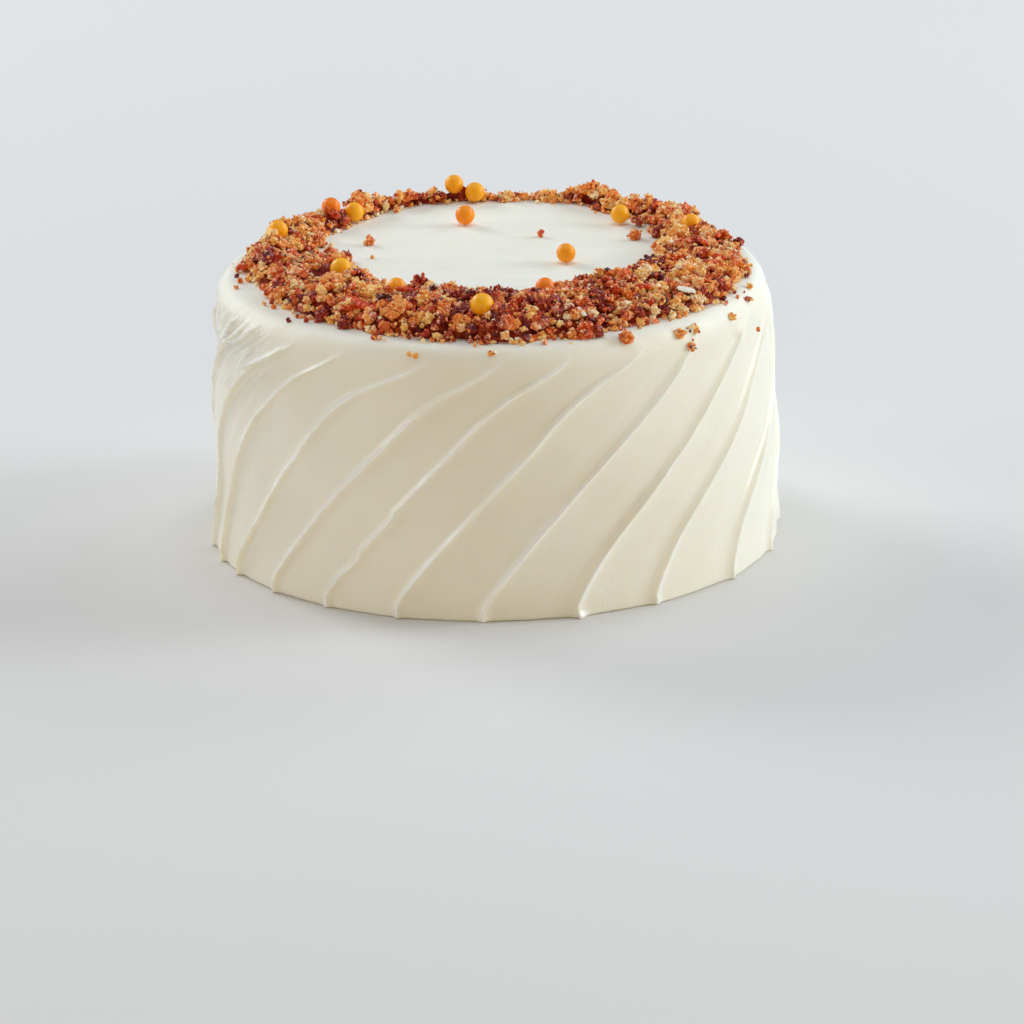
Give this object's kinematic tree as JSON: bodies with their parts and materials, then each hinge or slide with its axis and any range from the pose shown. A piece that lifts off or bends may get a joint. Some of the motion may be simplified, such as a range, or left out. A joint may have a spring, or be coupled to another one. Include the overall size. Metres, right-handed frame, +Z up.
{
  "type": "frosted carrot cake",
  "caption": "Round iced carrot cake with a swirled side, a ring of loose cake crumbs on its top and sugar pearls.",
  "frame": {"origin": "middle of the underside, on the surface that the cake stands on", "axes": "+Z up along the cake's axis, -Y towards the side shown in front, +X to that side's right"},
  "size_m": [0.2229, 0.2231, 0.1219],
  "materials": {
    "cream_icing": "soft satin cream icing",
    "cake_crumb": "rough, partly sugary cake crumb",
    "sugar_pearl": "satin sugar shell"
  },
  "bodies": {
    "root": {"frosted_cake": "cream_icing", "crumb_ring": "cake_crumb", "pearl_01": "sugar_pearl", "pearl_02": "sugar_pearl", "pearl_03": "sugar_pearl", "pearl_04": "sugar_pearl", "pearl_05": "sugar_pearl", "pearl_06": "sugar_pearl", "pearl_07": "sugar_pearl", "pearl_08": "sugar_pearl", "pearl_09": "sugar_pearl", "pearl_10": "sugar_pearl", "pearl_11": "sugar_pearl", "pearl_12": "sugar_pearl", "pearl_13": "sugar_pearl"}
  },
  "joints": []
}
